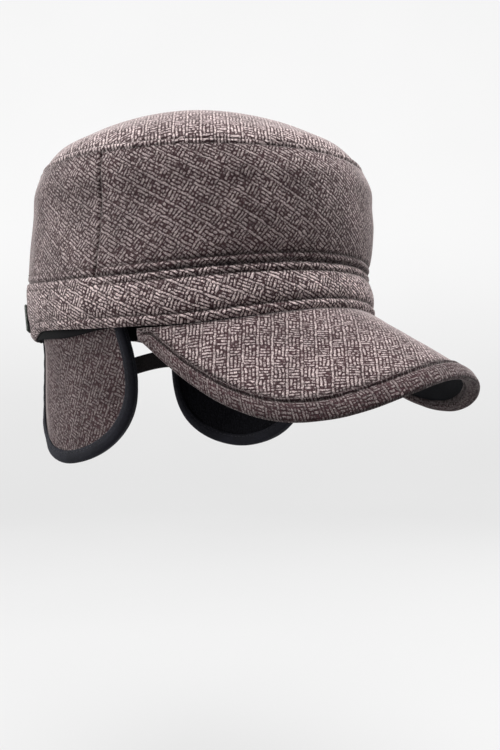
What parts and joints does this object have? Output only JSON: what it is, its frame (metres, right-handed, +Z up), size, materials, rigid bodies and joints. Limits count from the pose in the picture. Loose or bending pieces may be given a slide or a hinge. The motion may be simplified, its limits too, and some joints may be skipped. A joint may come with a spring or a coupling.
{
  "type": "tweed cadet cap with ear flaps",
  "caption": "Round flat-topped cloth cap with a wide band, a curved stiff peak, ear flaps hanging below the rim and an elastic strap round the nape.",
  "frame": {"origin": "middle of the head opening, level with the rim, where the cap sits on a head", "axes": "-Y towards the tip of the peak, -X towards the wearer's right ear, +Z up through the crown"},
  "size_m": [0.178, 0.2694, 0.1911],
  "materials": {
    "tweed": "woven wool, matt",
    "peak_lining": "black cotton, matt",
    "sweatband": "black cotton tape, matt",
    "flap_binding": "black bias tape, soft sheen",
    "fleece": "black fleece, napped",
    "elastic": "black woven elastic",
    "label": "dark mottled patch, bare"
  },
  "bodies": {
    "root": {"crown_top": "tweed", "crown_front": "tweed", "crown_back": "tweed", "band": "tweed", "sweatband": "sweatband", "peak_top": "tweed", "peak_underside": "peak_lining", "peak_binding": "tweed", "right_flap_cloth": "tweed", "right_flap_fleece": "fleece", "right_flap_binding": "flap_binding", "left_flap_cloth": "tweed", "left_flap_fleece": "fleece", "left_flap_binding": "flap_binding", "nape_strap": "elastic", "back_label": "label"}
  },
  "joints": []
}
